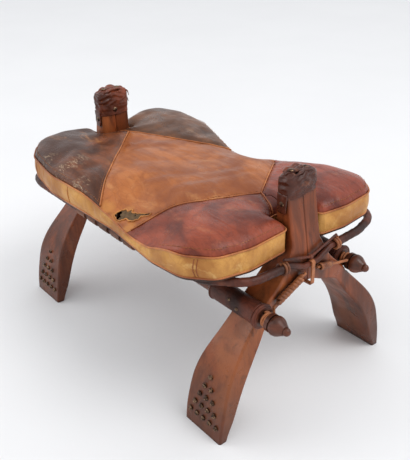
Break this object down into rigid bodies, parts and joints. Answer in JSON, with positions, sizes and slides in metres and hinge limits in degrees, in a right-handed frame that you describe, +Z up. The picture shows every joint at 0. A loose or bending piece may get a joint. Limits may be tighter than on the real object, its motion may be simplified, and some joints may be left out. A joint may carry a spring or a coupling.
{
  "type": "camel saddle stool",
  "caption": "Camel saddle stool: curved pegged wooden legs, turned side poles lashed with leather, a bent hoop, and a loose butterfly cushion of dark and tan leather.",
  "frame": {"origin": "on the floor, at the middle of the stool over its feet", "axes": "+X along the length towards the near end, where the left pole stands further out; +Y across, towards the right side with the deeper waist in the cushion; +Z up"},
  "size_m": [0.746, 0.4368, 0.4186],
  "materials": {
    "turned_wood": "stained and waxed, worn at the edges",
    "peg_wood": "bare",
    "dark_leather": "aged, semi gloss",
    "tan_thong": "aged, matte",
    "seat_leather": "worn, semi gloss",
    "tack_brass": "tarnished"
  },
  "bodies": {
    "frame": {"near_left_leg": "turned_wood", "near_left_foot_tacks": "tack_brass", "near_left_sleeve": "dark_leather", "near_left_sleeve_tacks": "tack_brass", "near_left_neck_wrap": "tan_thong", "near_left_lashing_core": "tan_thong", "near_left_lashing_wrap": "tan_thong", "near_left_hoop_loop": "dark_leather", "near_right_leg": "turned_wood", "near_right_foot_tacks": "tack_brass", "near_right_sleeve": "dark_leather", "near_right_sleeve_tacks": "tack_brass", "near_right_neck_wrap": "tan_thong", "near_right_lashing_core": "tan_thong", "near_right_lashing_wrap": "tan_thong", "near_right_hoop_loop": "dark_leather", "far_left_leg": "turned_wood", "far_left_foot_tacks": "tack_brass", "far_left_sleeve": "dark_leather", "far_left_sleeve_tacks": "tack_brass", "far_left_neck_wrap": "tan_thong", "far_left_lashing_core": "tan_thong", "far_left_lashing_wrap": "tan_thong", "far_left_hoop_loop": "dark_leather", "far_right_leg": "turned_wood", "far_right_foot_tacks": "tack_brass", "far_right_sleeve": "dark_leather", "far_right_sleeve_tacks": "tack_brass", "far_right_neck_wrap": "tan_thong", "far_right_lashing_core": "tan_thong", "far_right_lashing_wrap": "tan_thong", "far_right_hoop_loop": "dark_leather", "near_post_pegs": "peg_wood", "near_post_cap": "dark_leather", "near_cap_tacks": "tack_brass", "near_hoop_link": "dark_leather", "near_front_strand": "dark_leather", "near_apex_strap": "tan_thong", "far_post_pegs": "peg_wood", "far_post_cap": "dark_leather", "far_cap_tacks": "tack_brass", "far_hoop_link": "dark_leather", "far_front_strand": "dark_leather", "far_apex_strap": "tan_thong", "left_pole": "turned_wood", "left_hoop": "dark_leather", "right_pole": "turned_wood", "right_hoop": "dark_leather", "seat_cross_straps": "tan_thong", "seat_long_strap": "tan_thong"},
    "cushion": {"cushion": "seat_leather"}
  },
  "joints": [
    {"name": "cushion_lift", "type": "slide", "parent": "frame", "child": "cushion", "axis": [0, 0, 1], "range_m": [0, 0.15]}
  ]
}
